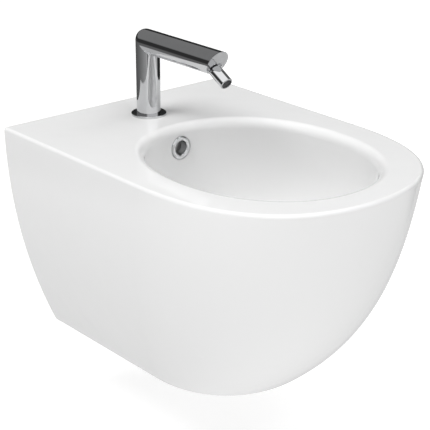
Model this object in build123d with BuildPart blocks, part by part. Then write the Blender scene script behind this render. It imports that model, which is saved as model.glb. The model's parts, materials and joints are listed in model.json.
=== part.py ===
"""Wall-hung bidet with a single-hole tap, an overflow and a push-open waste. Millimetres.

Frame: +Z up, the wall is the plane y = 0 and the bidet stands out along -Y. The origin lies on
the wall, midway between the two fixing studs. A drop is measured down from the rim.
"""

import os
from math import asin, copysign, cos, radians, sin, sqrt, tan

from build123d import *

os.makedirs("parts", exist_ok=True)

# Clearances
RUNNING = 0.08  # ball in its seats, stem in its guide
SCREWED = 0.05  # threads and plain seats
LOOSE = 0.5  # flange and ring in their recesses
SLEEVE_PLAY = 0.1  # plastic sleeve in the ceramic
OVERCUT = 1.0  # how far a cut runs past the face that it opens

# Skirt and deck
WIDTH = 360.0
PROJECTION = 500.0
HEIGHT = 297.0
RIM = 80.0  # rim above the fixing studs
FLANK = 290.0  # straight flank at the rim, from the wall
FOOT_WIDTH = 226.0
FOOT_PROJECTION = 348.0
FOOT_FLANK = 230.0
SIDE_STRAIGHT = 0.066  # share of the sides' taper that is straight
SIDE_POWER = 2.125  # the rest of it grows with this power of the depth
FRONT_STRAIGHT = 0.332
FRONT_POWER = 3.18
NOSE_PULL = 0.64  # reach of the nose's curve handles, as a share of its length
NOSE_PULL_AT_FOOT = 0.6
SKIRT_SECTIONS = 7
SKIRT_WALL = 12.0
DECK = 13.0
RIM_RADIUS = 4.0
FOOT_RADIUS = 2.5
PANEL = 14.0  # rear fixing panel
PANEL_DROP = 45.0  # panel below the studs
REAR_GAP_TOP = 220.0
REAR_GAP_FOOT = 165.0
REAR_GAP_RADIUS = 25.0

# Bowl
BOWL_WIDTH = 254.0
BOWL_BACK = 142.0
BOWL_FRONT = 453.0
BOWL_DEPTH = 155.0
BOWL_WALL = 10.0
BOWL_FLOOR = 12.0
BOWL_SHARES = (0, 0.2, 0.4, 0.6, 0.75, 0.87, 0.95, 1)  # of the depth, for its sections
BOWL_DRAW_POWER = 2.6  # higher keeps the walls steep for longer
BOWL_FULLNESS = 0.45  # lower makes the floor's corner fuller
OVAL_POWER = 2.15  # 2 is an ellipse
OVAL_POINTS = 24
LIP_RADIUS = 12.0
WASTE_FROM_WALL = 250.0
SUMP_RADIUS = 34.0  # flat round the waste

# Fixings
STUD_SPACING = 180.0
WALL_THREAD = 6.0
NUT_THREAD = 5.0
STUD_IN_WALL = 60.0
STUD_STEP = 2.0  # the wider thread starts behind the wall face
STUD_INSIDE = 54.0
STUD_BEVEL = 1.0
SLEEVE_RADIUS = 10.0
SLEEVE_SHORT = 1.0  # the sleeve stops this far from the wall
SLEEVE_FLANGE_RADIUS = 17.0
SLEEVE_FLANGE = 3.0
SLEEVE_FLANGE_TAPER = 1.0
FIXING_BOSS_RADIUS = 25.0
FIXING_BOSS = 12.0
FIXING_WASHER_RADIUS = 15.0
FIXING_WASHER = 2.5
FIXING_NUT_FLATS = 17.0
FIXING_NUT = 9.0
NUT_BEVEL = 30.0  # degrees
NUT_LAND = 0.95  # round end face of a nut, as a share of its flats

# Overflow
OVERFLOW_DROP = 30.0
OVERFLOW_HOLE = 12.0
OVERFLOW_RING_RADIUS = 15.75
OVERFLOW_RING = 3.2
OVERFLOW_RING_EDGE = 0.6
OVERFLOW_BORE = 9.0
OVERFLOW_SPIGOT = 9.0
SPOT_FACE = 0.3
SPOT_REACH = 6.0  # the spot face clears the bowl's curve this far inwards
DUCT_WIDTH = 44.0
DUCT_WALL = 8.0
DUCT_BACK = 118.0
DUCT_RADIUS = 22.0

# Waste
WASTE_HOLE = 23.0
WASTE_BOSS_RADIUS = 38.0
WASTE_BOSS = 40.0  # below the bowl's floor
WASTE_TUBE = 20.0
WASTE_BORE = 17.0
WASTE_LENGTH = 75.0
FLANGE_RADIUS = 31.0
FLANGE = 2.5
FLANGE_EDGE = 1.0
FLANGE_PROUD = 1.0  # above the bowl's floor
WASTE_GASKET = 1.5
UNDER_GASKET_RADIUS = 32.0
UNDER_GASKET = 4.0
UNDER_GASKET_BEVEL = 2.0
SLIP_WASHER_RADIUS = 31.0
SLIP_WASHER = 2.0
WASTE_NUT_FLATS = 52.0
WASTE_NUT = 10.0
SLOT_WIDTH = 14.0
SLOT_HEIGHT = 10.0
SLOT_DROP = 17.0  # slot's middle below the bowl's floor
SPIDER_DROP = 32.0
SPIDER = 4.0
SPOKES = 3
SPOKE = 3.0
HUB_RADIUS = 10.5
LATCH_RADIUS = 8.0
LATCH_HEAD = 2.0
LATCH_BELOW = 12.0
LATCH_FLOOR = 3.0
PLUG_RADIUS = 29.0
PLUG_EDGE = 2.2
PLUG_DOME = 4.5
PLUG_SEAL_RADIUS = 27.0
PLUG_SEAL_BORE = 21.0
PLUG_SEAL = 2.5
STEM_RADIUS = 4.0
STEM_END_PLAY = 2.0
TAIL_RADIUS = 16.0
TAIL_BORE = 14.0
TAIL_LENGTH = 50.0
TAIL_COLLAR = 3.0
TAIL_THREAD = 12.0
TAIL_SEAL = 2.0

# Tap
TAP_FROM_WALL = 75.0
TAP_HOLE = 17.5
TUBE_RADIUS = 16.0
TUBE_WALL = 3.0
SPOUT_HEIGHT = 100.0  # spout's axis above the deck
SPOUT_REACH = 216.8  # face's middle from the wall
FACE_TILT = 28.0
BASE_RING_RADIUS = 23.5
BASE_RING = 3.0
BASE_RING_BEVEL = 0.8
BASE_SEAL_RADIUS = 21.5
BASE_SEAL_WIDTH = 2.5
BASE_SEAL = 1.2
SHANK_IN_TUBE = 14.0
SHANK_BELOW_DECK = 32.0
SHANK_BORE = 5.0
INLET_RADIUS = 7.5
INLET_DEPTH = 12.0
CLAMP_RADIUS = 25.0
DECK_WASHER = 3.0
CLAMP_WASHER = 2.0
SHANK_NUT_FLATS = 36.0
SHANK_NUT = 8.0

# Spout cap and swivel nozzle
CAP_RADIUS = 14.8
CAP_LENGTH = 31.0  # face's middle to the cap's back
CAP_SEAL = 1.5
BALL_RADIUS = 8.0
BALL_FROM_WALL = 203.7
BALL_BELOW_SPOUT = 5.3
NOZZLE_DIP = 29.5
NOZZLE_TILT = 10.0  # each way, up and down and to both sides
NOZZLE_RADIUS = 8.25
NOZZLE_REACH = 36.0  # ball's middle to the tip
NOZZLE_BACK_EDGE = 0.6
NOZZLE_TIP_EDGE = 0.4
SLEEVE_START = 7.5
NECK_RADIUS = 5.2
NECK_END = 20.0
NOZZLE_BORE = 3.5
FUNNEL = 1.0  # the bore is wider by this at the back of the ball
FUNNEL_LENGTH = 3.0
SEAT_OUTER = 9.5
SEAT_INNER_ANGLE = 25.0
SEAT_OUTER_ANGLE = 50.0
RETAINER_END = 14.0
RETAINER_BORE = 4.2
OPENING_SPARE = 0.25
AERATOR_RADIUS = 6.8
AERATOR_LENGTH = 10.0
AERATOR_WALL = 0.9
AERATOR_RECESS = 0.7
AERATOR_WASHER = 1.5
AERATOR_SHELF = 2.0
AERATOR_SHELF_WIDTH = 1.0
INSERT_RECESS = 0.3
STEP_WIDTH = 1.0  # step in the sleeve that holds the washer
JET_RADIUS = 0.55
JET_RINGS = ((6, 0.4), (12, 0.76))  # jets in a ring, and its radius as a share of the insert's

# Places worked out from the sizes above
deck_under = RIM - DECK
foot = RIM - HEIGHT
bowl_floor = RIM - BOWL_DEPTH
boss_under = bowl_floor - WASTE_BOSS
sump_back = WASTE_FROM_WALL - SUMP_RADIUS
sump_front = WASTE_FROM_WALL + SUMP_RADIUS
tube_bore = TUBE_RADIUS - TUBE_WALL + SCREWED
spout_z = RIM + SPOUT_HEIGHT
ball = Vector(0, -BALL_FROM_WALL, spout_z - BALL_BELOW_SPOUT)

# Each turned piece has a plane whose normal is its axis
ACROSS = (1, 0, 0)
stud_axis = Plane((STUD_SPACING / 2, 0, 0), x_dir=ACROSS, z_dir=(0, -1, 0))
waste_axis = Plane((0, -WASTE_FROM_WALL, 0))
tap_axis = Plane((0, -TAP_FROM_WALL, 0))
spout_axis = Plane((0, 0, spout_z), x_dir=ACROSS, z_dir=(0, -1, 0))
seat_axis = Plane(ball, x_dir=ACROSS, z_dir=(0, 1, 0))
nozzle_axis = Plane(
    ball, x_dir=ACROSS, z_dir=(0, -cos(radians(NOZZLE_DIP)), -sin(radians(NOZZLE_DIP)))
)


def finish(piece, name):
    """Names a finished piece and writes its file."""
    piece.part.label = name
    export_step(piece.part, f"parts/{name}.step")


def ring(axis, outer, inner, low, high):
    """Adds a plain ring, or a disc with no inner radius, between two places on an axis."""
    with BuildSketch(axis.offset(low)) as profile:
        Circle(outer)
        if inner:
            Circle(inner, mode=Mode.SUBTRACT)
    extrude(profile.sketch, amount=high - low)


def drill(axis, radius, low, high):
    """Takes a round hole out between two places on an axis."""
    with BuildSketch(axis.offset(low)) as profile:
        Circle(radius)
    extrude(profile.sketch, amount=high - low, mode=Mode.SUBTRACT)


def side_of(axis):
    """The plane through an axis on which outlines are drawn as (along, out) pairs."""
    return Plane(axis.origin, x_dir=axis.z_dir, z_dir=axis.x_dir)


def turned(axis, points, mode=Mode.ADD):
    """Revolves a closed outline of (along, out) pairs about an axis."""
    with BuildSketch(side_of(axis)) as profile:
        with BuildLine():
            Polyline(*points, close=True)
        make_face()
    revolve(profile.sketch, axis=Axis(axis.origin, axis.z_dir), mode=mode)


def hexagon_nut(axis, flats, bore, low, high):
    """Makes a hexagon nut with bevelled corners, between two places on an axis."""
    with BuildSketch(axis.offset(low)) as profile:
        RegularPolygon(flats / 2, 6, major_radius=False)
        Circle(bore, mode=Mode.SUBTRACT)
    extrude(profile.sketch, amount=high - low)
    land = NUT_LAND * flats / 2
    corner = flats / sqrt(3) + OVERCUT
    rise = (corner - land) * tan(radians(NUT_BEVEL))
    turned(
        axis,
        [
            (low, 0),
            (low, land),
            (low + rise, corner),
            (high - rise, corner),
            (high, land),
            (high, 0),
        ],
        mode=Mode.INTERSECT,
    )


def taper(share, straight, power):
    """How much of its whole taper the skirt has at a share of its height below the rim."""
    return straight * share + (1 - straight) * share**power


def skirt_form(inset, back, top, low):
    """The skirt's D-shaped form, drawn in by an inset, between two heights."""
    with BuildPart() as form:
        for i in range(SKIRT_SECTIONS):
            z = top + (low - top) * i / (SKIRT_SECTIONS - 1)
            share = (RIM - z) / HEIGHT
            side_taper = (WIDTH - FOOT_WIDTH) / 2 * taper(share, SIDE_STRAIGHT, SIDE_POWER)
            half = WIDTH / 2 - side_taper - inset
            front_taper = (PROJECTION - FOOT_PROJECTION) * taper(share, FRONT_STRAIGHT, FRONT_POWER)
            front = PROJECTION - front_taper - inset
            flank = FLANK + (FOOT_FLANK - FLANK) * share
            pull = NOSE_PULL + (NOSE_PULL_AT_FOOT - NOSE_PULL) * share
            handle = flank + pull * (front - flank)
            with BuildSketch(Plane.XY.offset(z)):
                with BuildLine():
                    Line((-half, OVERCUT), (half, OVERCUT))
                    for side in (-half, half):
                        Line((side, OVERCUT), (side, -flank))
                        Bezier((side, -flank), (side, -handle), (side * pull, -front), (0, -front))
                make_face()
        loft()
        split(bisect_by=Plane.XZ.offset(back), keep=Keep.TOP)
    return form.part


def superellipse(half, bulge, power, angle):
    """The point at an angle on a superellipse, half wide and bulge long from its middle."""
    c, s = cos(radians(angle)), sin(radians(angle))
    x = copysign(half * abs(c) ** (2 / power), c)
    y = copysign(bulge * abs(s) ** (2 / power), s)
    return x, y


def bowl_spread(share):
    """How far the bowl is open at a share of its depth: 1 at the rim, 0 at the sump."""
    return (1 - share**BOWL_DRAW_POWER) ** BOWL_FULLNESS


def bowl_form(wall, floor):
    """The bowl's form: an oval at the rim that draws in to a round sump over the waste."""
    with BuildPart() as form:
        for share in BOWL_SHARES:
            spread = bowl_spread(share)
            half = SUMP_RADIUS + (BOWL_WIDTH / 2 - SUMP_RADIUS) * spread + wall
            back = sump_back + (BOWL_BACK - sump_back) * spread - wall
            front = sump_front + (BOWL_FRONT - sump_front) * spread + wall
            power = 2 + (OVAL_POWER - 2) * spread
            oval = []
            for i in range(OVAL_POINTS):
                x, y = superellipse(half, (front - back) / 2, power, 360 * i / OVAL_POINTS)
                oval.append((x, y - (back + front) / 2))
            with BuildSketch(Plane.XY.offset(RIM - share * (BOWL_DEPTH + floor))):
                with BuildLine():
                    Spline(*oval, periodic=True)
                make_face()
        loft()
    return form.part


def duct_form(inset):
    """The block that holds the overflow duct, behind the bowl and below it to the waste."""
    with BuildPart() as form:
        with BuildSketch(Plane.YZ):
            with BuildLine():
                Polyline(
                    (-DUCT_BACK - inset, deck_under),
                    (-DUCT_BACK - inset, boss_under + inset),
                    (-WASTE_FROM_WALL + inset, boss_under + inset),
                    (-WASTE_FROM_WALL + inset, deck_under),
                    close=True,
                )
            make_face()
            # in the sketch, X runs along the depth and Y upwards
            low_back_corner = vertices().group_by(Axis.Y)[0].sort_by(Axis.X)[-1]
            fillet(low_back_corner, DUCT_RADIUS - inset)
        extrude(amount=DUCT_WIDTH / 2 - inset, both=True)
    return form.part


# The whole casting in vitreous china
skirt_outside = skirt_form(0, 0, RIM, foot)
skirt_hollow = skirt_form(SKIRT_WALL, PANEL, deck_under, foot - OVERCUT)
bowl_shell = bowl_form(BOWL_WALL, BOWL_FLOOR)
bowl_hollow = bowl_form(0, 0)
duct_outside = duct_form(0)
duct_hollow = duct_form(DUCT_WALL) - bowl_shell
boss_face = PANEL + FIXING_BOSS
flange_seat = bowl_floor + FLANGE_PROUD - FLANGE - WASTE_GASKET
overflow_share = OVERFLOW_DROP / BOWL_DEPTH
overflow_back = sump_back + (BOWL_BACK - sump_back) * bowl_spread(overflow_share)
overflow_axis = Plane(
    (0, SPOT_FACE - overflow_back, RIM - OVERFLOW_DROP), x_dir=ACROSS, z_dir=(0, -1, 0)
)

with BuildPart() as casting:
    add(skirt_outside)
    rim_edges = casting.edges().group_by(Axis.Z)[-1].sort_by(Axis.Y)[:-1]
    fillet(rim_edges, RIM_RADIUS)
    foot_edges = casting.edges().group_by(Axis.Z)[0].sort_by(Axis.Y)[:-1]
    fillet(foot_edges, FOOT_RADIUS)
    add(skirt_hollow, mode=Mode.SUBTRACT)
    # gap in the back for the pipes, below the fixing panel
    with BuildSketch(Plane.XZ.offset(-OVERCUT)):
        with BuildLine():
            Polyline(
                (-REAR_GAP_FOOT / 2, foot - OVERCUT),
                (-REAR_GAP_TOP / 2, -PANEL_DROP),
                (REAR_GAP_TOP / 2, -PANEL_DROP),
                (REAR_GAP_FOOT / 2, foot - OVERCUT),
                close=True,
            )
        make_face()
        fillet(vertices().group_by(Axis.Y)[-1], REAR_GAP_RADIUS)
    extrude(amount=PANEL + 2 * OVERCUT, mode=Mode.SUBTRACT)
    # bosses round the fixing studs
    with BuildSketch(Plane.XZ.offset(PANEL - OVERCUT)):
        with GridLocations(STUD_SPACING, 1, 2, 1):
            Circle(FIXING_BOSS_RADIUS)
    extrude(amount=FIXING_BOSS + OVERCUT)
    add(bowl_shell)
    add(duct_outside)
    ring(waste_axis, WASTE_BOSS_RADIUS, 0, boss_under, bowl_floor - OVERCUT)
    add(duct_hollow, mode=Mode.SUBTRACT)
    add(bowl_hollow, mode=Mode.SUBTRACT)
    rim_face = casting.faces().filter_by(Axis.Z).sort_by(Axis.Z)[-1]
    lip = rim_face.inner_wires().edges()
    fillet(lip, LIP_RADIUS)
    # holes for the studs, the tap and the waste
    with BuildSketch(Plane.XZ.offset(-OVERCUT)):
        with GridLocations(STUD_SPACING, 1, 2, 1):
            Circle(SLEEVE_RADIUS + SLEEVE_PLAY)
    extrude(amount=boss_face + 2 * OVERCUT, mode=Mode.SUBTRACT)
    drill(tap_axis, TAP_HOLE, deck_under - OVERCUT, RIM + OVERCUT)
    drill(waste_axis, WASTE_HOLE, boss_under - OVERCUT, bowl_floor + OVERCUT)
    drill(waste_axis, FLANGE_RADIUS + LOOSE, flange_seat, bowl_floor + OVERCUT)
    # overflow hole, with a flat seat for its ring in the curved wall
    drill(overflow_axis, OVERFLOW_HOLE, -BOWL_WALL - 2 * OVERCUT, OVERCUT)
    drill(overflow_axis, OVERFLOW_RING_RADIUS + LOOSE, 0, SPOT_REACH)

# The casting is clay shells that are joined before firing: the deck, the bowl, the duct and
# the skirt. The deck meets the others level with its underside.
with BuildPart() as ceramic_deck:
    add(casting.part)
    split(bisect_by=Plane.XY.offset(deck_under), keep=Keep.TOP)
finish(ceramic_deck, "ceramic_deck")

lower_shells = split(
    casting.part, bisect_by=Plane.XY.offset(deck_under), keep=Keep.BOTTOM, mode=Mode.PRIVATE
).solids()
bowl_and_duct = lower_shells.sort_by(SortBy.VOLUME)[0]
with BuildPart() as overflow_duct:
    add(bowl_and_duct)
    add(bowl_shell, mode=Mode.SUBTRACT)
    drill(waste_axis, WASTE_BOSS_RADIUS, boss_under, bowl_floor)
finish(overflow_duct, "overflow_duct")

with BuildPart() as ceramic_bowl:
    add(bowl_and_duct)
    add(overflow_duct.part, mode=Mode.SUBTRACT)
finish(ceramic_bowl, "ceramic_bowl")

with BuildPart() as ceramic_skirt:
    add(lower_shells.sort_by(SortBy.VOLUME)[-1])
finish(ceramic_skirt, "ceramic_skirt")

# Fixings, from the wall inwards
with BuildPart() as wall_studs:
    turned(
        stud_axis,
        [
            (-STUD_IN_WALL, 0),
            (-STUD_IN_WALL, WALL_THREAD - STUD_BEVEL),
            (-STUD_IN_WALL + STUD_BEVEL, WALL_THREAD),
            (-STUD_STEP, WALL_THREAD),
            (-STUD_STEP, NUT_THREAD),
            (STUD_INSIDE - STUD_BEVEL, NUT_THREAD),
            (STUD_INSIDE, NUT_THREAD - STUD_BEVEL),
            (STUD_INSIDE, 0),
        ],
    )
    mirror(about=Plane.YZ)
finish(wall_studs, "wall_studs")

nut_bore = NUT_THREAD + SCREWED
washer_face = boss_face + SLEEVE_FLANGE
nut_face = washer_face + FIXING_WASHER
with BuildPart() as stud_sleeves:
    turned(
        stud_axis,
        [
            (SLEEVE_SHORT, nut_bore),
            (SLEEVE_SHORT, SLEEVE_RADIUS),
            (boss_face, SLEEVE_RADIUS),
            (boss_face, SLEEVE_FLANGE_RADIUS),
            (washer_face, SLEEVE_FLANGE_RADIUS - SLEEVE_FLANGE_TAPER),
            (washer_face, nut_bore),
        ],
    )
    mirror(about=Plane.YZ)
finish(stud_sleeves, "stud_sleeves")

with BuildPart() as stud_washers:
    ring(stud_axis, FIXING_WASHER_RADIUS, nut_bore, washer_face, nut_face)
    mirror(about=Plane.YZ)
finish(stud_washers, "stud_washers")

with BuildPart() as stud_nuts:
    hexagon_nut(stud_axis, FIXING_NUT_FLATS, nut_bore, nut_face, nut_face + FIXING_NUT)
    mirror(about=Plane.YZ)
finish(stud_nuts, "stud_nuts")

# Overflow ring, with a round crown and a spigot that is pushed into the hole
with BuildPart() as overflow_ring:
    with BuildSketch(side_of(overflow_axis)):
        with BuildLine():
            crown = (OVERFLOW_RING, (OVERFLOW_RING_RADIUS + OVERFLOW_BORE) / 2)
            ThreePointArc(
                (OVERFLOW_RING_EDGE, OVERFLOW_RING_RADIUS), crown, (OVERFLOW_RING_EDGE, OVERFLOW_BORE)
            )
            Polyline(
                (OVERFLOW_RING_EDGE, OVERFLOW_BORE),
                (-OVERFLOW_SPIGOT, OVERFLOW_BORE),
                (-OVERFLOW_SPIGOT, OVERFLOW_HOLE - SCREWED),
                (0, OVERFLOW_HOLE - SCREWED),
                (0, OVERFLOW_RING_RADIUS),
                (OVERFLOW_RING_EDGE, OVERFLOW_RING_RADIUS),
            )
        make_face()
    revolve(axis=Axis(overflow_axis.origin, overflow_axis.z_dir))
finish(overflow_ring, "overflow_ring")

# Waste, from the bowl downwards
flange_low = flange_seat + WASTE_GASKET
flange_top = flange_low + FLANGE
waste_low = bowl_floor - WASTE_LENGTH
spider_top = bowl_floor - SPIDER_DROP
with BuildPart() as waste_top_gasket:
    ring(waste_axis, FLANGE_RADIUS - LOOSE, WASTE_HOLE, flange_seat, flange_low)
finish(waste_top_gasket, "waste_top_gasket")

with BuildPart() as waste_body:
    ring(waste_axis, WASTE_TUBE, WASTE_BORE, waste_low, flange_top)
    ring(waste_axis, FLANGE_RADIUS, WASTE_BORE, flange_low, flange_top)
    top_circles = waste_body.edges().filter_by(GeomType.CIRCLE).group_by(Axis.Z)[-1]
    fillet(top_circles.sort_by(SortBy.RADIUS)[-1], FLANGE_EDGE)
    # a slot towards the duct, and one across from it
    with BuildSketch(Plane.XZ.offset(WASTE_FROM_WALL - WASTE_HOLE)):
        with Locations((0, bowl_floor - SLOT_DROP)):
            Rectangle(SLOT_WIDTH, SLOT_HEIGHT)
    extrude(amount=2 * WASTE_HOLE, mode=Mode.SUBTRACT)
    # spider that holds the latch
    with BuildSketch(waste_axis.offset(spider_top)):
        Circle(HUB_RADIUS)
        spoke_end = (WASTE_BORE + WASTE_TUBE) / 2
        with PolarLocations(spoke_end / 2, SPOKES, start_angle=90):
            Rectangle(spoke_end, SPOKE)
        Circle(LATCH_RADIUS + SCREWED, mode=Mode.SUBTRACT)
    extrude(amount=-SPIDER)
finish(waste_body, "waste_body")

waste_sleeve = WASTE_TUBE + SCREWED
under_gasket_low = boss_under - UNDER_GASKET
slip_low = under_gasket_low - SLIP_WASHER
with BuildPart() as waste_bottom_gasket:
    ring(waste_axis, UNDER_GASKET_RADIUS, waste_sleeve, under_gasket_low, boss_under)
    low_circles = waste_bottom_gasket.edges().group_by(Axis.Z)[0]
    chamfer(low_circles.sort_by(SortBy.RADIUS)[-1], UNDER_GASKET_BEVEL)
finish(waste_bottom_gasket, "waste_bottom_gasket")

with BuildPart() as waste_washer:
    ring(waste_axis, SLIP_WASHER_RADIUS, waste_sleeve, slip_low, under_gasket_low)
finish(waste_washer, "waste_washer")

with BuildPart() as waste_nut:
    hexagon_nut(waste_axis, WASTE_NUT_FLATS, waste_sleeve, slip_low - WASTE_NUT, slip_low)
finish(waste_nut, "waste_nut")

latch_top = spider_top + LATCH_HEAD
latch_low = spider_top - SPIDER - LATCH_BELOW
with BuildPart() as latch_cartridge:
    ring(waste_axis, LATCH_RADIUS, 0, latch_low, latch_top)
    ring(waste_axis, HUB_RADIUS, 0, spider_top, latch_top)
    drill(waste_axis, STEM_RADIUS + RUNNING, latch_low + LATCH_FLOOR, latch_top + OVERCUT)
finish(latch_cartridge, "latch_cartridge")

seal_top = flange_top + PLUG_SEAL
with BuildPart() as plug_seal:
    ring(waste_axis, PLUG_SEAL_RADIUS, PLUG_SEAL_BORE, flange_top, seal_top)
finish(plug_seal, "plug_seal")

plug_shoulder = seal_top + PLUG_EDGE
plug_top = plug_shoulder + PLUG_DOME
with BuildPart() as plug_cap:
    with BuildSketch(side_of(waste_axis)):
        with BuildLine():
            dome = (PLUG_RADIUS**2 + PLUG_DOME**2) / (2 * PLUG_DOME)
            half_way = asin(PLUG_RADIUS / dome) / 2
            on_dome = (plug_top - dome * (1 - cos(half_way)), dome * sin(half_way))
            ThreePointArc((plug_shoulder, PLUG_RADIUS), on_dome, (plug_top, 0))
            Polyline((plug_top, 0), (seal_top, 0), (seal_top, PLUG_RADIUS), (plug_shoulder, PLUG_RADIUS))
        make_face()
    revolve(axis=Axis(waste_axis.origin, waste_axis.z_dir))
finish(plug_cap, "plug_cap")

with BuildPart() as plug_stem:
    ring(waste_axis, STEM_RADIUS, 0, latch_low + LATCH_FLOOR + STEM_END_PLAY, seal_top)
finish(plug_stem, "plug_stem")

with BuildPart() as tailpiece_seal:
    ring(waste_axis, WASTE_TUBE, WASTE_BORE, waste_low - TAIL_SEAL, waste_low)
finish(tailpiece_seal, "tailpiece_seal")

collar_top = waste_low - TAIL_SEAL
collar_low = collar_top - TAIL_COLLAR
with BuildPart() as tailpiece:
    ring(waste_axis, TAIL_RADIUS, TAIL_BORE, collar_low - TAIL_LENGTH, collar_top)
    ring(waste_axis, WASTE_TUBE, TAIL_BORE, collar_low, collar_top)
    ring(waste_axis, WASTE_BORE - SCREWED, TAIL_BORE, collar_top, waste_low + TAIL_THREAD)
finish(tailpiece, "tailpiece")

# Tap, from the deck upwards
ring_top = RIM + BASE_RING
base_seal_inner = BASE_SEAL_RADIUS - BASE_SEAL_WIDTH
with BuildPart() as base_seal:
    ring(tap_axis, BASE_SEAL_RADIUS, base_seal_inner, RIM, RIM + BASE_SEAL)
finish(base_seal, "base_seal")

with BuildPart() as base_ring:
    ring(tap_axis, BASE_RING_RADIUS, tube_bore, RIM, ring_top)
    ring_circles = base_ring.edges().group_by(Axis.Z)[-1]
    chamfer(ring_circles.sort_by(SortBy.RADIUS)[-1], BASE_RING_BEVEL)
    with BuildSketch(tap_axis.offset(RIM)):
        Circle(BASE_SEAL_RADIUS + SCREWED)
        Circle(base_seal_inner - SCREWED, mode=Mode.SUBTRACT)
    extrude(amount=BASE_SEAL, mode=Mode.SUBTRACT)
finish(base_ring, "base_ring")

shank_low = deck_under - SHANK_BELOW_DECK
with BuildPart() as mounting_shank:
    ring(tap_axis, tube_bore - SCREWED, SHANK_BORE, shank_low, ring_top + SHANK_IN_TUBE)
    drill(tap_axis, INLET_RADIUS, shank_low, shank_low + INLET_DEPTH)
finish(mounting_shank, "mounting_shank")

clamp_top = deck_under - DECK_WASHER
nut_top = clamp_top - CLAMP_WASHER
with BuildPart() as deck_washer:
    ring(tap_axis, CLAMP_RADIUS, tube_bore, clamp_top, deck_under)
finish(deck_washer, "deck_washer")

with BuildPart() as clamp_washer:
    ring(tap_axis, CLAMP_RADIUS, tube_bore, nut_top, clamp_top)
finish(clamp_washer, "clamp_washer")

with BuildPart() as shank_nut:
    hexagon_nut(tap_axis, SHANK_NUT_FLATS, tube_bore, nut_top - SHANK_NUT, nut_top)
finish(shank_nut, "shank_nut")

# The opening that lets the nozzle swing both ways at once, from the ball's middle outwards
swing = radians(sqrt(2) * NOZZLE_TILT)
socket = BALL_RADIUS + RUNNING
neck_join = sqrt(BALL_RADIUS**2 - NECK_RADIUS**2)
lip_out = NECK_RADIUS * cos(swing) + neck_join * sin(swing) + OPENING_SPARE
sleeve_along = SLEEVE_START * cos(swing) - NOZZLE_RADIUS * sin(swing) - OPENING_SPARE
sleeve_out = NOZZLE_RADIUS * cos(swing) + SLEEVE_START * sin(swing) + OPENING_SPARE
mouth_out = sleeve_out + (NOZZLE_REACH - sleeve_along) * tan(swing)
opening = [
    (0, 0),
    (0, lip_out),
    (sleeve_along, lip_out),
    (sleeve_along, sleeve_out),
    (NOZZLE_REACH, mouth_out),
    (NOZZLE_REACH, 0),
]
face_plane = Plane(
    (0, -SPOUT_REACH, spout_z),
    x_dir=ACROSS,
    z_dir=(0, -cos(radians(FACE_TILT)), -sin(radians(FACE_TILT))),
)
cap_back = SPOUT_REACH - CAP_LENGTH
cap_seat = cap_back - CAP_SEAL
past_face = SPOUT_REACH + TUBE_RADIUS


def spout_path():
    """Up the middle of the tube and forward along the spout."""
    start = (0, -TAP_FROM_WALL, ring_top)
    corner = (0, -TAP_FROM_WALL, spout_z)
    return Polyline(start, corner, (0, -past_face, spout_z))


def trim_at_face():
    """Takes away what lies in front of the slanted face."""
    with BuildSketch(face_plane) as front:
        Rectangle(4 * TUBE_RADIUS, 4 * TUBE_RADIUS)
    extrude(front.sketch, amount=2 * TUBE_RADIUS, mode=Mode.SUBTRACT)


with BuildPart() as tap_body:
    for radius, mode in ((TUBE_RADIUS, Mode.ADD), (tube_bore, Mode.SUBTRACT)):
        with BuildLine():
            spout_path()
        with BuildSketch(tap_axis.offset(ring_top)):
            Circle(radius)
        sweep(transition=Transition.RIGHT, mode=mode)
    # counterbore for the cap and its seal
    drill(spout_axis, CAP_RADIUS + SCREWED, cap_seat, past_face + OVERCUT)
    trim_at_face()
    turned(nozzle_axis, opening, mode=Mode.SUBTRACT)
finish(tap_body, "tap_body")

with BuildPart() as cap_seal:
    ring(spout_axis, CAP_RADIUS, tube_bore, cap_seat, cap_back)
finish(cap_seal, "cap_seal")

with BuildPart() as spout_cap:
    ring(spout_axis, CAP_RADIUS, 0, cap_back, past_face)
    trim_at_face()
    turned(nozzle_axis, opening, mode=Mode.SUBTRACT)
    with Locations(ball):
        Sphere(socket, mode=Mode.SUBTRACT)
    drill(seat_axis, socket, 0, BALL_FROM_WALL - cap_back + OVERCUT)
finish(spout_cap, "spout_cap")

# Ball seat and its screwed retainer, behind the ball
with BuildPart() as ball_seat:
    low, high = radians(SEAT_INNER_ANGLE), radians(SEAT_OUTER_ANGLE)
    with BuildSketch(side_of(seat_axis)):
        with BuildLine():
            for radius in (socket, SEAT_OUTER):
                arc = [
                    (radius * cos(a), radius * sin(a)) for a in (low, (low + high) / 2, high)
                ]
                ThreePointArc(*arc)
            for a in (low, high):
                Line((socket * cos(a), socket * sin(a)), (SEAT_OUTER * cos(a), SEAT_OUTER * sin(a)))
        make_face()
    revolve(axis=Axis(ball, (0, 1, 0)))
finish(ball_seat, "ball_seat")

retainer_out = socket - SCREWED
retainer_start = sqrt((SEAT_OUTER + RUNNING) ** 2 - retainer_out**2)
with BuildPart() as seat_retainer:
    ring(seat_axis, retainer_out, RETAINER_BORE, retainer_start, RETAINER_END)
    with Locations(ball):
        Sphere(SEAT_OUTER + RUNNING, mode=Mode.SUBTRACT)
finish(seat_retainer, "seat_retainer")

# Swivel nozzle
with BuildPart() as nozzle_ball:
    with Locations(ball):
        Sphere(BALL_RADIUS)
    ring(nozzle_axis, NECK_RADIUS, 0, 0, NECK_END)
    turned(
        nozzle_axis,
        [
            (-BALL_RADIUS, 0),
            (-BALL_RADIUS, NOZZLE_BORE + FUNNEL),
            (-BALL_RADIUS + FUNNEL_LENGTH, NOZZLE_BORE),
            (NECK_END + OVERCUT, NOZZLE_BORE),
            (NECK_END + OVERCUT, 0),
        ],
        mode=Mode.SUBTRACT,
    )
finish(nozzle_ball, "nozzle_ball")

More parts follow.
